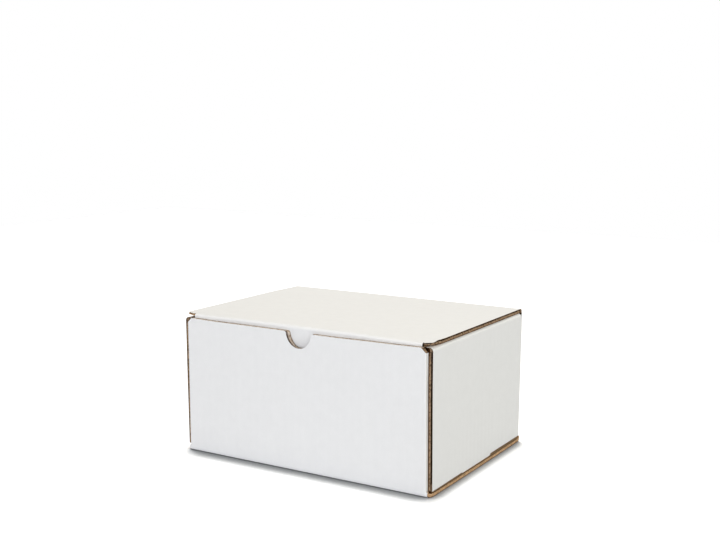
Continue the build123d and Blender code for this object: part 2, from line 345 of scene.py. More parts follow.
class Board:
    """Liners and flutes of a folded sheet, gathered into one mesh."""

    def __init__(self):
        self.points = []
        self.across = []
        self.faces = []
        self.finishes = []

    def add_points(self, points, across):
        """A grid of points, returned as a grid of their numbers in the mesh."""
        start = len(self.points)
        self.points.extend(points.reshape(-1, 3).tolist())
        self.across.extend(across.reshape(-1).tolist())
        return start + np.arange(points.shape[0] * points.shape[1]).reshape(points.shape[:2])

    def add_face(self, corners, finish):
        self.faces.append(corners)
        self.finishes.append(finish)

    def add_sheet(self, patch, near_depth, far_depth, near_finish, far_finish, cut_finish):
        """One layer of paper between two depths of a patch, closed at its cut edges."""
        near = self.add_points(patch.at(near_depth), patch.across)
        far = self.add_points(patch.at(far_depth), patch.across)
        for row in range(near.shape[0] - 1):
            for column in range(near.shape[1] - 1):
                if (row, column) in patch.gaps:
                    continue
                ring = [(row, column), (row, column + 1), (row + 1, column + 1), (row + 1, column)]
                self.add_face([near[place] for place in ring], near_finish)
                self.add_face([far[place] for place in reversed(ring)], far_finish)
                for index, side in enumerate(BESIDE):
                    if patch.is_open(row, column, side):
                        start, end = ring[index], ring[(index + 1) % len(ring)]
                        self.add_face([near[start], far[start], far[end], near[end]], cut_finish)

    def add_board(self, patch):
        """Both liners of a patch, and the fluted paper where a cut edge shows it."""
        # The liners' faces towards the flutes are near-black kraft, painted shade for the hollows between
        # them.
        self.add_sheet(patch, 0, LINER_SHARE, WHITE, SHADED_CORE, patch.cuts[0])
        self.add_sheet(patch, 1 - LINER_SHARE, 1, SHADED_CORE, KRAFT, patch.cuts[1])
        for side in sorted(patch.free):
            self.add_sheet(fluted_paper(patch, side), 0, 1, patch.flutes, patch.flutes, patch.flutes)

    def make_object(self, name, finishes, settle):
        """The mesh, with points that meet joined and folds shaded smooth."""
        mesh = bpy.data.meshes.new(name)
        points = np.array([settle(Vector(point)) for point in self.points]) * MM
        mesh.from_pydata(points.tolist(), [], self.faces)
        mesh.attributes.new("across", "FLOAT", "POINT").data.foreach_set("value", self.across)
        for finish in finishes:
            mesh.materials.append(finish)
        mesh.polygons.foreach_set("material_index", self.finishes)
        work = bmesh.new()
        work.from_mesh(mesh)
        bmesh.ops.remove_doubles(work, verts=work.verts, dist=WELD * MM)
        bmesh.ops.recalc_face_normals(work, faces=work.faces)
        for face in work.faces:
            face.smooth = True
        for edge in work.edges:
            edge.smooth = len(edge.link_faces) == 2 and edge.calc_face_angle(0) < SHARP_ANGLE
        work.to_mesh(mesh)
        work.free()
        piece = bpy.data.objects.new(name, mesh)
        bpy.context.scene.collection.objects.link(piece)
        return piece


def smooth(value):
    """A soft step from 0 to 1 as the value goes from 0 to 1."""
    value = min(1.0, max(0.0, value))
    return value * value * (3 - 2 * value)


def ease(value, start, length):
    """A soft step from 0 to 1 that begins when the value is at the start and takes a length."""
    return smooth((value - start) / length)


def spaced(low, high, count):
    """Evenly spaced values with an extra one near each end, where the fluted paper of a cut edge ends."""
    return np.unique(np.concatenate([np.linspace(low, high, count), [low + FLUTE_REACH, high - FLUTE_REACH]]))


def merged(*groups):
    """The places of all groups in order, each of them once."""
    return np.unique(np.round(np.concatenate(groups), PLACE_DIGITS))


def with_rims(columns, start, shares, half_width):
    """Columns with more of them on both sides, at shares of the way from the start to a half width."""
    rim = start + shares * (half_width - start)
    return np.concatenate([-rim[::-1], columns, rim])


def swept(profile, columns):
    """A grid that carries the y and z of a profile's points across the box, each along its own columns."""
    return [[(x, y, z) for x in places] for (y, z), places in zip(profile, columns)]


def resampled(rail, places):
    """Points of a rail at places that are counted in its points."""
    return np.stack([np.interp(places, np.arange(len(rail)), rail[:, axis]) for axis in range(3)], -1)


def waves_behind(medium, outer, inner, across, edge, inside):
    """Waves of fluted paper behind a cut edge that crosses the flutes."""
    order = np.argsort(across[edge])
    count = int(np.ptp(across[edge]) / FLUTE_PITCH * FLUTE_SAMPLES) + 2
    fine = np.linspace(across[edge].min(), across[edge].max(), count)

    def along_edge(grid, row):
        places = across[row][order]
        return np.stack([np.interp(fine, places, grid[row][order, axis]) for axis in range(3)], -1)

    ends = [[along_edge(grid, row) for row in (edge, inside)] for grid in (outer, inner)]
    wave = np.cos(2 * math.pi * fine / FLUTE_PITCH)
    middle, half = medium(fine) if callable(medium) else medium
    swing = np.minimum(middle, 1 - middle) - FLUTE_GAP - LINER_SHARE - half
    depth = np.tile(middle + swing * wave, (2, 1))
    return ends, np.array([FLUTE_INSET, 1.0]), depth, half, np.tile(fine, (2, 1))


def flank_behind(flank, outer, inner, edge, inside):
    """The last flank of fluted paper behind a cut edge that runs along the flutes."""
    lengths = np.linalg.norm(np.diff(outer[edge], axis=0), axis=1)
    steps = [np.linspace(index, index + 1, int(length / FLANK_STEP) + 1, endpoint=False)
             for index, length in enumerate(lengths)]
    places = np.concatenate([*steps, [len(lengths)]])
    ends = [[resampled(grid[row], places) for row in (edge, inside)] for grid in (outer, inner)]
    meets, depths, climbs = flank
    gap = np.linalg.norm(outer[edge] - outer[inside], axis=1).mean()
    shares = np.unique(np.clip(np.array(depths) / gap, 0, 1))
    wander = np.array([noise.noise(Vector(point) / FLANK_WANDER_LENGTH) for point in ends[0][0]])
    rise = np.interp(shares * gap, depths, climbs)[:, None] * (1 + FLANK_WANDER * wander)
    depth = LINER_SHARE + FLANK_GAP + (1 - 2 * FLANK_GAP - 2 * LINER_SHARE) * np.clip(rise, 0, 1)
    if meets == INNER_LINER:
        depth = 1 - depth
    return ends, shares, depth, FLANK_HALF * LINER_SHARE, np.tile(places * FLANK_STEP, (len(shares), 1))


def fluted_paper(patch, side):
    """The fluted paper behind one cut edge of a patch, as a thin patch of its own."""
    outer, inner, across = patch.outer, patch.inner, patch.across
    if "column" in side:
        outer, inner, across = [grid.swapaxes(0, 1) for grid in (outer, inner, across)]
    edge, inside = (-1, -2) if "last" in side else (0, 1)
    if "row" in side:
        paper = waves_behind(patch.medium, outer, inner, across, edge, inside)
    else:
        paper = flank_behind(patch.flank, outer, inner, edge, inside)
    ends, shares, depth, half, positions = paper
    near, far = [np.array([first * (1 - share) + last * share for share in shares]) for first, last in ends]
    low = near + (far - near) * (depth - half)[..., None]
    high = near + (far - near) * (depth + half)[..., None]
    return Patch(low, high, positions, free=BESIDE)


def fold(corner, direction_in, direction_out, outer_radius):
    """Outer and inner points of a fold about an outer corner, with the board on the inside of the turn."""
    turn = math.atan2(
        direction_in[0] * direction_out[1] - direction_in[1] * direction_out[0],
        direction_in[0] * direction_out[0] + direction_in[1] * direction_out[1],
    )
    tangent = math.tan(abs(turn) / 2)
    inward = np.array([-direction_in[1], direction_in[0]]) * math.copysign(1, turn)

    def arc(offset, radius):
        centre = np.array(corner) - offset * tangent * np.array(direction_in) + offset * inward
        points = []
        for angle in np.linspace(0, turn, FOLD_STEPS + 1):
            cos, sin = math.cos(angle), math.sin(angle)
            turned = np.array([cos * inward[0] - sin * inward[1], sin * inward[0] + cos * inward[1]])
            points.append(tuple(centre - radius * turned))
        return points

    return arc(outer_radius, outer_radius), arc(BOARD + CREASE_RADIUS, CREASE_RADIUS)


def notch_touch():
    """Where the thumb notch's lip begins on the top edge, and where it meets the round of the notch."""
    lip_x = math.sqrt((NOTCH_RADIUS + NOTCH_LIP_RADIUS) ** 2 - NOTCH_LIP_RADIUS**2)
    return lip_x, lip_x * NOTCH_RADIUS / (NOTCH_RADIUS + NOTCH_LIP_RADIUS)


def top_edge_drop(x):
    """How far the thumb notch and the cut corners lower the front wall's top edge at x."""
    x = abs(x)
    lip_x, touch_x = notch_touch()
    if x <= touch_x:
        return NOTCH_STRETCH * math.sqrt(NOTCH_RADIUS**2 - x**2)
    if x <= lip_x:
        return NOTCH_STRETCH * (NOTCH_LIP_RADIUS - math.sqrt(NOTCH_LIP_RADIUS**2 - (lip_x - x) ** 2))
    return max(0.0, x - (FRONT_HALF_WIDTH - WALL_CHAMFER))


def top_edge_sag(x):
    """How far the front wall's top edge sags between its ends."""
    right = 1 - ease(abs(x - TOP_SAG_RIGHT_PLACE), *TOP_SAG_RIGHT_FADE)
    return TOP_SAG * (1 - ease(abs(x), *TOP_SAG_FADE)) + TOP_SAG_RIGHT * right


def notch_slant(x):
    """How far the inner liner stands out into the thumb notch at x."""
    beside = 1 - ease(abs(abs(x) - NOTCH_RADIUS), *NOTCH_SLANT_FADE)
    return -math.copysign(NOTCH_SLANT * beside, x)


def wall_medium(across):
    """Where the fluted paper lies along the front wall's top: pressed back in the notch, flat elsewhere."""
    lip_x, _ = notch_touch()
    flat = np.array([ease(abs(x), lip_x, MEDIUM_BLEND) for x in across])
    return [pressed + flat * (wide - pressed) for pressed, wide in zip(PRESSED_MEDIUM, FLAT_MEDIUM)]


def wall_columns():
    """Places across the box that the front wall, the bottom and the back wall share."""
    lip_x, touch_x = notch_touch()
    round_part = NOTCH_RADIUS * np.sin(np.linspace(0, math.asin(touch_x / NOTCH_RADIUS), NOTCH_STEPS))
    lip_part = lip_x - NOTCH_LIP_RADIUS * np.sin(np.linspace(0, LIP_TURN, LIP_STEPS))
    wide = np.linspace(lip_x, SLOT_SIDES[0], WIDE_STEPS)[1:-1]
    chamfer = [FRONT_HALF_WIDTH - WALL_CHAMFER, FRONT_FLAT]
    half = merged(round_part, lip_part, wide, SLOT_SIDES, chamfer)
    return np.concatenate([-half[:0:-1], half])


def front_wall():
    """The flat of the front wall, with the thumb notch and the cut corners in its top edge."""
    columns = wall_columns()
    tops = [WALL_TOP - top_edge_drop(x) - top_edge_sag(x) for x in columns]
    rows = [[CORNER_RELIEF + share * (top - CORNER_RELIEF) for top in tops] for share in WALL_SHARES]
    outer = [[(x, FRONT, z) for x, z in zip(columns, row)] for row in rows]
    inner = [[(x + notch_slant(x), FRONT + BOARD, z) for x, z in zip(columns, row)] for row in rows]
    # The outer liner's cut along the top is near-black kraft: a painted dark line of shade.
    return Patch(outer, inner, columns, free=["last_row"], flutes=WORN_EDGE, cuts=(SHADED_CORE, WORN_EDGE),
                 medium=wall_medium)


def bottom_half_width(y):
    """Half the width of the bottom panel, with its slanting front corners."""
    start, end = FRONT + BOTTOM_CORNER_START * FOLD_RADIUS, FRONT + BOARD + BOTTOM_CORNER_CUT
    left_to_go = min(1.0, max(0.0, (end - y) / (end - start)))
    return SIDE - BOTTOM_FRONT_INSET * left_to_go**2


def beside_corner(x, y, z):
    """A point of the bottom, set back at the front where the corner flap's fold turns away above it."""
    past = min(1.0, max(0.0, abs(x) - FRONT_FLAT) / CORNER_FOLD_RADIUS)
    set_back = (CORNER_FOLD_RADIUS + CORNER_SETBACK) * (1 - math.sqrt(1 - past**2))
    rise = ease(z, CORNER_SETBACK_LEVEL, CORNER_RELIEF - CORNER_SETBACK_LEVEL)
    return x, y + set_back * rise * (1 - ease(y, *CORNER_SETBACK_FADE)), z


def bottom_panel():
    """The bottom and its two folds, with the slots for the locking tabs."""
    front_outer, front_inner = fold((FRONT, 0), (0, -1), (1, 0), FOLD_RADIUS)
    back_outer, back_inner = fold((BACK, 0), (1, 0), (0, 1), FOLD_RADIUS)
    tab_half = TAB_LENGTH / 2 + SLIP
    slots = [(middle - tab_half, middle + tab_half) for middle in TAB_MIDDLES]
    corner_ends = (FRONT + BOARD + CREASE_RADIUS, FRONT + BOARD + BOTTOM_CORNER_CUT)
    corner_rows = np.linspace(*corner_ends, BOTTOM_CORNER_STEPS)[1:]
    straight = merged(corner_rows, np.ravel(slots), np.linspace(*BOTTOM_ROWS))
    outer = [(FRONT, CORNER_RELIEF), *front_outer, *[(y, 0) for y in straight], *back_outer,
             (BACK, SIDE_BOTTOM)]
    inner = [(FRONT + BOARD, CORNER_RELIEF), *front_inner, *[(y, BOARD) for y in straight], *back_inner,
             (BACK - BOARD, SIDE_BOTTOM)]
    back_share = (BACK_FLAT - FRONT_FLAT) / (SIDE - FRONT_FLAT)
    rims = np.array([*(back_share * RIM_SHARES), 1])
    half_widths = [bottom_half_width(y) for y, _ in outer]
    columns = [with_rims(wall_columns(), FRONT_FLAT, rims, half_width) for half_width in half_widths]
    outer_grid, inner_grid = [[[beside_corner(*point) for point in row] for row in swept(profile, columns)]
                              for profile in (outer, inner)]
    across = with_rims(wall_columns(), FRONT_FLAT, rims, SIDE)
    middles = np.abs(across[1:] + across[:-1]) / 2
    slot_columns = np.flatnonzero((middles > SLOT_SIDES[0]) & (middles < SLOT_SIDES[1]))
    gaps = []
    for row in range(len(outer) - 1):
        y = (outer[row][0] + outer[row + 1][0]) / 2
        if any(low < y < high for low, high in slots):
            gaps += [(row, column) for column in slot_columns]
    # The bottom's cut edges get the lighter copy of the kraft edge: painted light.
    return Patch(outer_grid, inner_grid, across, free=BOTH_SIDES, gaps=gaps,
                 flutes=LIT_EDGE)


def back_wall():
    """The flat of the back wall, up to the crease of the lid."""
    columns = with_rims(wall_columns(), FRONT_FLAT, RIM_SHARES, BACK_FLAT)
    rows = SIDE_BOTTOM + WALL_SHARES * (WALL_TOP - SIDE_BOTTOM)
    outer = [[(x, BACK, z) for x in columns] for z in rows]
    inner = [[(x, BACK - BOARD, z) for x in columns] for z in rows]
    return Patch(outer, inner, columns)


def foot_marks():
    """Where a side panel's foot begins and ends along the panel."""
    low, high = SIDE_FOOT
    return [low - SIDE_FOOT_RUN_OUT, low, high, high + SIDE_FOOT_RUN_OUT]


def side_places():
    """Places along a side panel, from the back to the front edge, that its roll-over shares."""
    return merged(spaced(FRONT + SIDE_SETBACK, INNER_PANEL_REAR, SIDE_STEPS), foot_marks())[::-1]


def standing_grids(outer, inner, bottoms, tops):
    """Grids of a wall that follows a plan of outer and inner points between two edges."""
    rows = [[low + share * (high - low) for low, high in zip(bottoms, tops)] for share in WALL_SHARES]
    return [[[(x, y, z) for (x, y), z in zip(plan, row)] for row in rows] for plan in (outer, inner)]


def outer_side_panel():
    """The fold at the back corner and the outer side panel, to its front edge."""
    corner_outer, corner_inner = fold((SIDE, BACK), (1, 0), (0, -1), FOLD_RADIUS)
    relief_end = BACK - BOARD - CREASE_RADIUS
    places = [relief_end + STEP, relief_end, *side_places()]
    outer = [*corner_outer, *[(SIDE, y) for y in places]]
    inner = [(BACK_FLAT, BACK - BOARD), *corner_inner[1:], *[(SIDE - BOARD, y) for y in places]]
    tops = [WALL_TOP if y > relief_end else ROLL_START for _, y in outer]
    bottoms = np.interp([y for _, y in outer], foot_marks(), FOOT_LEVELS)
    across = [x + BACK - y for x, y in outer]
    return Patch(*standing_grids(outer, inner, bottoms, tops), across, free=["first_row", "last_column"],
                 flank=DEEP_FLANK)


def tab_floor(y):
    """Level of the inner side panel's bottom edge at y, with its locking tabs."""
    distance = min(abs(y - middle) for middle in TAB_MIDDLES)
    return float(np.interp(distance, TAB_MARKS, [TAB_RECESS, TAB_RECESS + TAB_END_CUT, BOARD + SLIP]))


def rolled_side():
    """The roll-over along the top of a side wall and the inner panel, down to its tabs."""
    first_outer, first_inner = fold((SIDE, WALL_TOP), (0, 1), (-1, 0), ROLL_RADIUS)
    second_outer, second_inner = fold((INNER_PANEL_INNER_FACE, WALL_TOP), (-1, 0), (0, -1), ROLL_RADIUS)
    cut = CORNER_FLAP_INNER_FACE
    under = WALL_TOP - ROLL_BOARD
    outer = [(SIDE, ROLL_START), *first_outer, (cut + STEP, WALL_TOP), (cut, WALL_TOP), *second_outer]
    inner = [(SIDE - BOARD, ROLL_START), *first_inner, (cut + STEP, under), (cut, under), *second_inner]
    # The crushed board's inner face is raised towards the outer one. At the cut it is raised once more than
    # at the folds, and makes a low ridge there.
    inner = [(x, z + (BOARD - ROLL_BOARD) * ease(z, ROLL_START, CREASE_RADIUS)) for x, z in inner]
    rows_before_cut = len(first_outer) + 2
    tab_marks = [middle + end * mark for middle in TAB_MIDDLES for end in (-1, 1) for mark in TAB_MARKS]
    places = merged(side_places(), tab_marks)[::-1]
    set_back = np.maximum(places, INNER_PANEL_FRONT + (places - places[-1]) * SIDE_CROWDING)
    outer_grid, inner_grid = [], []
    for index, ((outer_x, outer_z), (inner_x, inner_z)) in enumerate(zip(outer, inner)):
        ys = places if index < rows_before_cut else set_back
        outer_grid.append([(outer_x, y, outer_z) for y in ys])
        inner_grid.append([(inner_x, y, inner_z) for y in ys])
    panel_top = outer[-1][1]
    for share in WALL_SHARES[1:]:
        levels = [panel_top + share * (tab_floor(y) - panel_top) for y in set_back]
        outer_grid.append([(INNER_PANEL_INNER_FACE, y, z) for y, z in zip(set_back, levels)])
        inner_grid.append([(INNER_PANEL_OUTER_FACE, y, z) for y, z in zip(set_back, levels)])
    return Patch(outer_grid, inner_grid, SIDE + BACK - places,
                 free=[*BOTH_SIDES, "last_row"], flank=ROLL_FLANK)


def corner_flap():
    """The fold at the end of the front wall and the flap that lies inside the side wall."""
    corner_outer, corner_inner = fold((FRONT_HALF_WIDTH, FRONT), (1, 0), (0, 1), CORNER_FOLD_RADIUS)
    start, end = FRONT + BOARD, FRONT + CORNER_FLAP_LENGTH
    places = [start, start + STEP, *spaced(start + 2 * STEP, end, CORNER_FLAP_STEPS)]
    inner_places = [max(y, start + CREASE_RADIUS + (index + 1) * STEP) for index, y in enumerate(places)]
    outer = [*corner_outer, *[(FRONT_HALF_WIDTH, y) for y in places]]
    inner = [*corner_inner, *[(CORNER_FLAP_INNER_FACE, y) for y in inner_places]]
    flap_top = WALL_TOP - BOARD - CORNER_FLAP_TOP_GAP
    bottoms, tops = [], []
    for x, y in outer:
        fall = CORNER_FLAP_TAPER * max(0.0, (y - start) / (end - start))
        overlap = (CORNER_OVERLAP * ease(x, FRONT_FLAT, CORNER_OVERLAP_ONSET)
                   * ease(start - y, 0, CORNER_OVERLAP_FADE))
        bottoms.append(CORNER_RELIEF + fall - overlap)
        tops.append(flap_top - fall if y > start else WALL_TOP - top_edge_drop(x))
    across = [x + y - FRONT for x, y in outer]
    return Patch(*standing_grids(outer, inner, bottoms, tops), across,
                 free=["first_row", "last_row", "last_column"])


def tuck_fold():
    """Outer and inner points of the fold between the lid and the tuck flap, and the way down the flap."""
    down = (math.sin(TUCK_LEAN), -math.cos(TUCK_LEAN))
    tangent = math.tan((math.pi / 2 + TUCK_LEAN) / 2)
    corner = (TUCK_FACE + LID_FOLD_RADIUS * (1 - tangent), HEIGHT)
    outer, inner = fold(corner, (-1, 0), down, LID_FOLD_RADIUS)
    return outer, inner, np.array(down)


def lid_panel():
    """The lid from its crease at the back to the front fold."""
    outer_fold, inner_fold, _ = tuck_fold()
    outer_start, inner_start = outer_fold[0][0], inner_fold[0][0]
    places = [LID_BACK,
              *np.linspace(LID_BACK - LID_BACK_ROW, outer_start + LID_EVEN_END, LID_EVEN_ROWS),
              *np.linspace(outer_start + LID_CLOSE_START, outer_start, LID_CLOSE_ROWS)]
    columns = with_rims(TUCK_SHARES * TUCK_HALF_WIDTH, TUCK_HALF_WIDTH, EAR_SHARES[1:], LID_HALF_WIDTH)
    outer = [[(x, y, HEIGHT) for x in columns] for y in places]
    inner = [[(x, max(y, inner_start), LID_UNDERSIDE) for x in columns] for y in places]
    # The inner liner's cut is near-black kraft: a painted line of shade under the lid's edge.
    return Patch(outer, inner, columns, free=BOTH_SIDES, flank=LID_FLANK,
                 cuts=(EDGE, SHADED_CORE))


def lid_corner():
    """The lid's right front corner beside the tuck flap, with a slanting slit between them."""
    outer_fold, inner_fold, _ = tuck_fold()
    outer_start, inner_start = outer_fold[0][0], inner_fold[0][0]
    angles = np.linspace(0, math.pi / 2, LID_CORNER_STEPS)
    turn_start = TUCK_FACE + LID_CORNER_RADIUS
    widths = [LID_HALF_WIDTH, *(LID_HALF_WIDTH - LID_CORNER_RADIUS * (1 - np.cos(angles)))]
    outer_places = [outer_start, *(min(outer_start, turn_start) - LID_CORNER_RADIUS * np.sin(angles))]
    outer_grid, inner_grid, across = [], [], []
    for width, y in zip(widths, outer_places):
        gone = (outer_start - y) / (outer_start - outer_places[-1])
        start = TUCK_HALF_WIDTH + gone * LID_CORNER_SLIT
        columns = start + EAR_SHARES * (width - start)
        inner_y = inner_start + gone * (outer_places[-1] - inner_start)
        outer_grid.append([(x, y, HEIGHT) for x in columns])
        inner_grid.append([(x, inner_y, LID_UNDERSIDE) for x in columns])
        across.append(columns)
    return Patch(outer_grid, inner_grid, across, free=[*BOTH_SIDES, "last_row"],
                 flank=LID_FLANK, cuts=(EDGE, EDGE), medium=CRUSHED_MEDIUM)


def tuck_flap():
    """The fold at the lid's front and the flap that hangs from it, with rounded free corners."""
    outer, inner, down = tuck_fold()
    arc_start = TUCK_LENGTH - FOLD_RADIUS - TUCK_CORNER_RADIUS
    angles = np.linspace(0, math.pi / 2, TUCK_CORNER_STEPS)
    straight = np.linspace(TUCK_FIRST_ROW, arc_start, TUCK_ROWS)[:-1]
    widths = [TUCK_HALF_WIDTH] * (len(outer) + len(straight))
    widths += list(TUCK_HALF_WIDTH - TUCK_CORNER_RADIUS * (1 - np.cos(angles)))
    outer_end, inner_end = np.array(outer[-1]), np.array(inner[-1])
    shorter = float(np.dot(inner_end - outer_end, down))
    for distance in [*straight, *(arc_start + TUCK_CORNER_RADIUS * np.sin(angles))]:
        outer.append(tuple(outer_end + distance * down))
        inner.append(tuple(inner_end + (distance - shorter) * down))
    columns = [TUCK_SHARES * width for width in widths]
    return Patch(swept(outer, columns), swept(inner, columns), columns,
                 free=[*BOTH_SIDES, "last_row"], flank=LID_FLANK)


def lid_crease():
    """The rounded crease that joins the back wall to the lid."""
    centre = np.array([BACK - FOLD_RADIUS, HEIGHT - FOLD_RADIUS])
    outer = [(BACK, WALL_TOP)]
    for angle in np.radians(CREASE_ANGLES):
        outer.append(tuple(centre + FOLD_RADIUS * np.array([math.cos(angle), math.sin(angle)])))
    outer.append((LID_BACK, HEIGHT))
    inner_start = np.array([BACK - BOARD, WALL_TOP])
    inner_end = np.array([LID_BACK, LID_UNDERSIDE])
    turn_start, turn_length = CREASE_INNER_TURN
    angles = np.array([CREASE_ANGLES[0], *CREASE_ANGLES, CREASE_ANGLES[-1]])
    shares = np.clip((angles - turn_start) / turn_length, 0, 1)
    inner = [tuple(inner_start + share * (inner_end - inner_start)) for share in shares]
    columns = np.linspace(-LID_HALF_WIDTH, LID_HALF_WIDTH, CREASE_COLUMNS)
    outer_grid, inner_grid = [swept(profile, [columns] * len(profile)) for profile in (outer, inner)]
    return Patch(outer_grid, inner_grid, columns, free=BOTH_SIDES)


def lean(y):
    """Sideways lean at the top of the walls, from the front to the back."""
    return float(np.interp(y, [FRONT, BACK], [TOP_LEAN_FRONT, TOP_LEAN_BACK]))


def settle_body(point):
    """The box as folded by hand: leaning a little, with swaying panels and edges that stand out."""
    x, y, z = point
    height = z / HEIGHT
    sway = (noise.noise_vector(point / SWAY_LENGTH) * PANEL_SWAY * ease(z, *SWAY_ONSET)
            * ease(WALL_TOP - z, 0, SWAY_FADE))
    shift = lean(y) * height
    middle_lean = FRONT_LEAN_MIDDLE * height
    front_leans = [FRONT_DRAWN_IN, middle_lean, middle_lean, FRONT_LEAN_RIGHT * height]
    front_only = ease(SIDE_EDGE - y, 0, FRONT_LEAN_ONSET)
    shift += front_only * float(np.interp(x, FRONT_LEAN_PLACES, front_leans))
    if y > SIDE_EDGE and z > BOARD + EDGE_MARGIN:
        bulge = SIDE_BULGE_RIGHT if x > 0 else -SIDE_BULGE_LEFT * ease(z, *SIDE_BULGE_RISE)
        shift += bulge * ease(abs(x), *SIDE_BULGE_BAND) * ease(-y, *SIDE_BULGE_FRONT)
    low_edge = ease(BOARD + 2 * EDGE_MARGIN - z, 0, EDGE_MARGIN) * ease(abs(x), *BELLY_BAND)
    shift += math.copysign(BOTTOM_BELLY, x) * low_edge * (1 - (y / BACK) ** 2)
    return Vector((x + shift + sway.x, y + sway.y, z))


def lid_spread(x, y):
    """How far the lid's two side edges stand to the left or right of their true lines."""
    back = (y - FRONT) / (BACK - FRONT)
    left = LID_SPREAD_FRONT + back * (LID_SPREAD_BACK - LID_SPREAD_FRONT)
    return TOP_LEAN_BACK * back * ease(x, -SIDE, LID_LEAN_ONSET) - left * ease(-x, *LID_SPREAD_BAND)


def settle_lid(point):
    """The lid with the ends of its front fold pulled down and its front corners crushed."""
    x, y, z = point
    side = abs(x)
    front = ease(-y, *LID_FRONT)
    sink = ease(side, *LID_SINK_ONSET) * (1 - ease(side, TUCK_HALF_WIDTH, LID_SINK_FADE))
    crush = ease(side, *LID_CRUSH_BAND) * front
    if z > LID_UNDERSIDE - STEP:
        z += LID_CORNER_CRUSH * crush * (HEIGHT - z) / BOARD
    pinch = (ease(x, TUCK_PINCH_START, TUCK_HALF_WIDTH - TUCK_PINCH_START)
             * (1 - ease(x, TUCK_HALF_WIDTH, TUCK_PINCH_FADE)) * front)
    press = ease(HEIGHT - z, 0, HINGE_SPAN) * (1 - ease(LID_UNDERSIDE - z, 0, TUCK_BULGE_FADE)) * front
    bow = ((1 - ease(side, *TUCK_BOW_FADE)) * ease(HEIGHT - z, 0, TUCK_BOW_ONSET)
           * ease(z, *TUCK_BOW_FOOT) * front)
    lift = LID_LIFT * ease(-x, 0, SIDE) * ease(BACK - LID_LIFT_GAP - y, 0, LID_LIFT_ONSET)
    lift += LID_HUMP * ease(x, *LID_HUMP_BAND) * math.exp(-((y - LID_HUMP_PLACE) / LID_HUMP_LENGTH) ** 2)
    return Vector((x + lid_spread(x, y) - TUCK_PINCH * pinch, y - TUCK_BULGE * press - TUCK_BOW * bow,
                   z - LID_SINK * sink * front + lift))


def settle_crease(point):
    """The crease stays with the back of the lid and the top of the back wall."""
    return point + Vector((lid_spread(point.x, point.y), 0, 0))


def darken_cuts(mesh):
    """Painted shade on the cuts at the notch's sides, and the darker kraft edge at the front wall's ends."""
    notch_top = WALL_TOP - NOTCH_LIP_RADIUS
    chamfer_start = FRONT_HALF_WIDTH - 2 * WALL_CHAMFER
    chamfer_top = WALL_TOP - WALL_CHAMFER / 10
    for face in mesh.polygons:
        if face.material_index != WORN_EDGE:
            continue
        x, _, z = face.center / MM
        # The notch's sides get painted shade.
        if NOTCH_RADIUS / 2 < abs(x) < 2 * NOTCH_RADIUS and z < notch_top:
            face.material_index = NOTCH_SHADE
        if abs(x) > chamfer_start and z < chamfer_top:
            face.material_index = EDGE


class Graph:
    """The shader nodes of a material or a world, and the links between them."""

    def __init__(self, owner):
        owner.use_nodes = True
        self.nodes = owner.node_tree.nodes
        self.links = owner.node_tree.links

    def fill(self, node, sources=(), values=()):
        """Joins a node's inputs to other nodes' outputs, or sets them to values."""
        for socket, source in dict(sources).items():
            self.links.new(source, node.inputs[socket])
        for socket, value in dict(values).items():
            node.inputs[socket].default_value = value

    def add(self, kind, sources=(), values=(), **settings):
        """A new node with its settings and its inputs."""
        node = self.nodes.new("ShaderNode" + kind)
        for name, value in settings.items():
            setattr(node, name, value)
        self.fill(node, sources, values)
        return node

    def ramp(self, source, stops):
        """Colours between places on a 0 to 1 value."""
        node = self.add("ValToRGB", {"Fac": source})
        elements = node.color_ramp.elements
        while len(elements) < len(stops):
            elements.new(0.5)
        for element, (place, colour) in zip(elements, stops):
            element.position = place
            element.color = (*colour, 1)
        return node.outputs["Color"]


def grey(value):
    return (value,) * 3


def tinted(colour, share):
    return [min(1.0, value * share) for value in colour]


def noise_texture(graph, scale, detail, stretch=(1, 1, 1)):
    place = graph.add("TexCoord").outputs["Object"]
    stretched = graph.add("Mapping", {"Vector": place}, {"Scale": stretch}).outputs["Vector"]
    return graph.add("TexNoise", {"Vector": stretched}, {"Scale": scale, "Detail": detail}).outputs["Fac"]


def multiply(graph, first, second):
    node = graph.add("Mix", data_type="RGBA", blend_type="MULTIPLY")
    graph.fill(node, {"A": first, "B": second}, {"Factor": 1.0})
    return node.outputs["Result"]


def washboard(graph):
    """Height of the liner over the flutes, from the distance across them."""
    across = graph.add("Attribute", attribute_name="across").outputs["Fac"]
    turn = graph.add("Math", {0: across}, {1: 2 * math.pi / FLUTE_PITCH}, operation="MULTIPLY")
    return graph.add("Math", {0: turn.outputs["Value"]}, operation="SINE").outputs["Value"]


def bump(graph, height, distance, below=None):
    """The normal of a relief so many millimetres high, on top of another one."""
    node = graph.add("Bump", {"Height": height}, {"Distance": distance * MM})
    if below is not None:
        graph.fill(node, {"Normal": below})
    return node.outputs["Normal"]


def paper_material(name, colour, mottle, roughness, wave_height, grain_height, specular=0.1):
    """Paper with cloudy formation, fine fibres and the faint ridges of the flutes under it."""
    material = bpy.data.materials.new(name)
    graph = Graph(material)
    cloud = graph.ramp(noise_texture(graph, CLOUD_SCALE, detail=4),
                       [(0.3, tinted(colour, 1 - mottle)), (0.7, tinted(colour, 1 + mottle))])
    fibre = graph.ramp(noise_texture(graph, FIBRE_SCALE, detail=3, stretch=FIBRE_STRETCH),
                       [(0.25, grey(1 - mottle)), (0.6, grey(1))])
    ridges = bump(graph, washboard(graph), wave_height)
    grain = bump(graph, noise_texture(graph, GRAIN_SCALE, detail=2), grain_height, ridges)
    graph.fill(graph.nodes["Principled BSDF"], {"Base Color": multiply(graph, cloud, fibre), "Normal": grain},
               {"Roughness": roughness, "Specular IOR Level": specular})
    return material


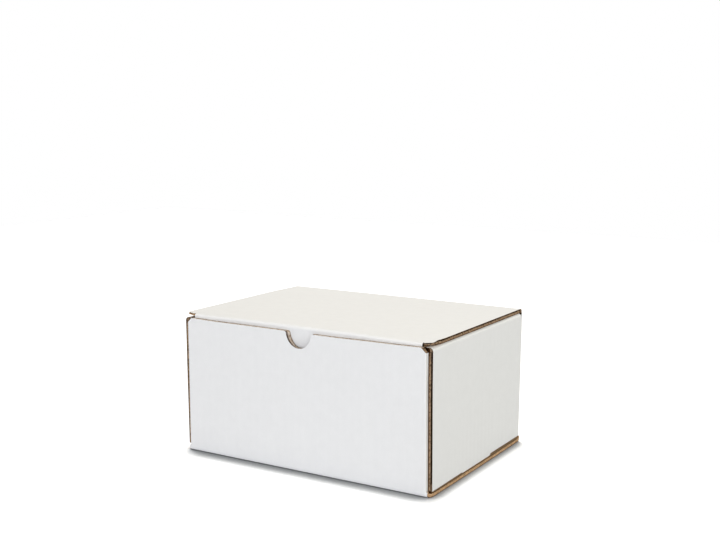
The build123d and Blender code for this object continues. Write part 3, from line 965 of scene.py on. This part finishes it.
def edge_material(name, dark, light):
    """Torn and cut kraft paper, mottled along the edge."""
    material = bpy.data.materials.new(name)
    graph = Graph(material)
    blotch = graph.ramp(noise_texture(graph, BLOTCH_SCALE, detail=3), [(0.35, dark), (0.6, light)])
    fibre = graph.ramp(noise_texture(graph, EDGE_FIBRE_SCALE, detail=2),
                       [(0.3, grey(0.72)), (0.6, grey(1))])
    torn = bump(graph, noise_texture(graph, TEAR_SCALE, detail=3), TEAR_HEIGHT)
    graph.fill(graph.nodes["Principled BSDF"], {"Base Color": multiply(graph, blotch, fibre), "Normal": torn},
               {"Roughness": EDGE_ROUGHNESS, "Specular IOR Level": EDGE_SPECULAR})
    return material


def mix_for_camera(graph, plain, seen):
    """One shader for what the camera sees, directly or in a mirror or glass, and a plain one for the rest."""
    path = graph.add("LightPath")
    share = path.outputs["Is Camera Ray"]
    for other in ("Is Glossy Ray", "Is Transmission Ray"):
        share = graph.add("Math", {0: share, 1: path.outputs[other]}, operation="MAXIMUM").outputs["Value"]
    return graph.add("MixShader", {"Fac": share, 1: plain, 2: seen}).outputs["Shader"]


def contact_shadow(graph):
    """How open the floor is towards the box, from 0 close to it to 1 away from it."""
    place = graph.add("TexCoord").outputs["Object"]
    y = graph.add("SeparateXYZ", {"Vector": place}).outputs["Y"]
    reach = graph.add("MapRange", {"Value": y}, {
        "From Min": (FRONT - CONTACT_REACH_BLEND) * MM,
        "From Max": FRONT * MM,
        "To Min": CONTACT_REACH_FRONT * MM,
        "To Max": CONTACT_REACH_SIDE * MM,
    })
    normal = graph.add("CombineXYZ", values=zip("XYZ", CONTACT_NORMAL))
    contact = graph.add("AmbientOcclusion", samples=CONTACT_SAMPLES)
    graph.fill(contact, {"Distance": reach.outputs["Result"], "Normal": normal.outputs["Vector"]})
    return contact.outputs["AO"]


def floor_material():
    """White floor that keeps the contact shadow and is paper white to the camera."""
    material = bpy.data.materials.new("floor_white")
    graph = Graph(material)
    graph.nodes.remove(graph.nodes["Principled BSDF"])
    plain = graph.add("BsdfDiffuse", values={"Color": (*FLOOR_COLOUR, 1)}).outputs["BSDF"]
    shade = graph.ramp(contact_shadow(graph), [(place, grey(value)) for place, value in CONTACT_SHADES])
    bright = graph.add("VectorMath", {0: shade}, {1: FLOOR_GAIN}, operation="MULTIPLY").outputs["Vector"]
    seen = graph.add("BsdfDiffuse", {"Color": bright}).outputs["BSDF"]
    graph.fill(graph.nodes["Material Output"], {"Surface": mix_for_camera(graph, plain, seen)})
    return material


def add_floor():
    bpy.ops.mesh.primitive_plane_add(size=FLOOR_SIZE, location=(0, 0, 0))
    floor = bpy.context.object
    floor.name = "floor"
    floor.data.materials.append(floor_material())


def set_world():
    """Even soft light all round, on a white background."""
    world = bpy.data.worlds.new("studio")
    bpy.context.scene.world = world
    graph = Graph(world)
    soft = graph.nodes["Background"]
    graph.fill(soft, values={"Color": (*SKY_COLOUR, 1), "Strength": SKY_STRENGTH})
    white = graph.add("Background", values={"Color": (1, 1, 1, 1)})
    mixed = mix_for_camera(graph, soft.outputs["Background"], white.outputs["Background"])
    graph.fill(graph.nodes["World Output"], {"Surface": mixed})


def add_lamp(name, kind, place, target, power, colour):
    light = bpy.data.lights.new(name, kind)
    light.energy = power
    light.color = colour
    lamp = bpy.data.objects.new(name, light)
    lamp.location = place
    lamp.rotation_euler = (Vector(target) - Vector(place)).to_track_quat("-Z", "Y").to_euler()
    bpy.context.scene.collection.objects.link(lamp)
    return light


def add_softbox(name, place, size, power, colour):
    light = add_lamp(name, "AREA", place, LAMP_TARGET, power, colour)
    light.shape = "DISK"
    light.size = size


def add_overhead_light(strength, colour):
    light = add_lamp("overhead", "SUN", SUN_PLACE, (0, 0, 0), strength, colour)
    light.angle = SUN_SPREAD


def add_camera():
    """The photograph's view, from the front and to the right, a little above the lid."""
    yaw, pitch, roll = [math.radians(angle) for angle in CAMERA_TURN]
    forward = Vector((-math.sin(yaw) * math.cos(pitch), math.cos(yaw) * math.cos(pitch), -math.sin(pitch)))
    right = Vector((math.cos(yaw), math.sin(yaw), 0))
    up = right.cross(forward)
    axes = Matrix((right * math.cos(roll) + up * math.sin(roll),
                   up * math.cos(roll) - right * math.sin(roll),
                   -forward)).transposed()
    camera = bpy.data.cameras.new("photo_camera")
    camera.sensor_width = SENSOR_WIDTH
    camera.lens = CAMERA_LENS
    viewer = bpy.data.objects.new("photo_camera", camera)
    viewer.location = CAMERA_PLACE
    viewer.rotation_euler = axes.to_euler()
    bpy.context.scene.collection.objects.link(viewer)
    bpy.context.scene.camera = viewer


white_liner = paper_material("white_liner", (0.81, 0.81, 0.80), mottle=0.010, roughness=0.85,
                             wave_height=0.02, grain_height=0.008)
kraft_liner = paper_material("kraft_liner", (0.47, 0.31, 0.18), mottle=0.05, roughness=0.8,
                             wave_height=0.03, grain_height=0.015)
kraft_edge = edge_material("kraft_edge", dark=(0.13, 0.083, 0.047), light=(0.42, 0.285, 0.178))
# A lighter copy of the kraft edge: painted light, on the bottom's cut edges and the lid's left front corner.
lit_edge = edge_material("lit_edge", dark=(0.42, 0.265, 0.145), light=(0.72, 0.46, 0.255))
# Near-black kraft: painted shade for the hollows between the liners and the dark lines at the liners' cuts.
shaded_core = paper_material("shaded_core", (0.08, 0.027, 0.005), mottle=0.08, roughness=0.9,
                            wave_height=0.0, grain_height=0.02, specular=0.02)
worn_edge = edge_material("worn_edge", dark=(0.44, 0.34, 0.25), light=(0.80, 0.71, 0.60))
# A darker copy of the worn edge: painted shade on the thumb notch's sides.
notch_shade = edge_material("notch_shade", dark=(0.30, 0.22, 0.16), light=(0.56, 0.48, 0.40))
finishes = [white_liner, kraft_liner, kraft_edge, lit_edge, shaded_core, worn_edge, notch_shade]

noise.seed_set(SWAY_SEED)
body_board = Board()
for patch in (front_wall(), bottom_panel(), back_wall()):
    body_board.add_board(patch)
for make in (outer_side_panel, rolled_side, corner_flap):
    right_patch = make()
    body_board.add_board(right_patch)
    body_board.add_board(right_patch.mirrored())
body_piece = body_board.make_object("folded_body", finishes, settle_body)
darken_cuts(body_piece.data)
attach(body_piece, "box")
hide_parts("box_body")

lid_board = Board()
right_corner = lid_corner()
left_corner = right_corner.mirrored()
# The left corner faces away from the lamps, so its edges get the lighter copy of the kraft edge: painted
# light.
left_corner.flutes = LIT_EDGE
left_corner.cuts = (LIT_EDGE, LIT_EDGE)
for patch in (lid_panel(), tuck_flap(), right_corner, left_corner):
    lid_board.add_board(patch)
lid_piece = lid_board.make_object("folded_lid", finishes, settle_lid)
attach(lid_piece, "lid")
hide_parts("lid")

crease_board = Board()
crease_board.add_board(lid_crease())
crease_piece = crease_board.make_object("lid_crease", finishes, settle_crease)
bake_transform(crease_piece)

add_floor()
set_world()
add_overhead_light(strength=1.40, colour=(1.0, 0.935, 0.83))
add_softbox("front_softbox", (0.1, -1.8, 0.3), size=0.7, power=15.2, colour=(0.92, 0.935, 1.0))
add_softbox("right_softbox", (1.6, -0.3, 1.0), size=0.8, power=14.1, colour=(0.99, 0.99, 0.94))
add_softbox("rear_softbox", (-1.1, 1.7, 0.6), size=0.9, power=15, colour=(1.0, 1.0, 1.0))
add_camera()
bpy.context.scene.view_settings.view_transform = "Standard"
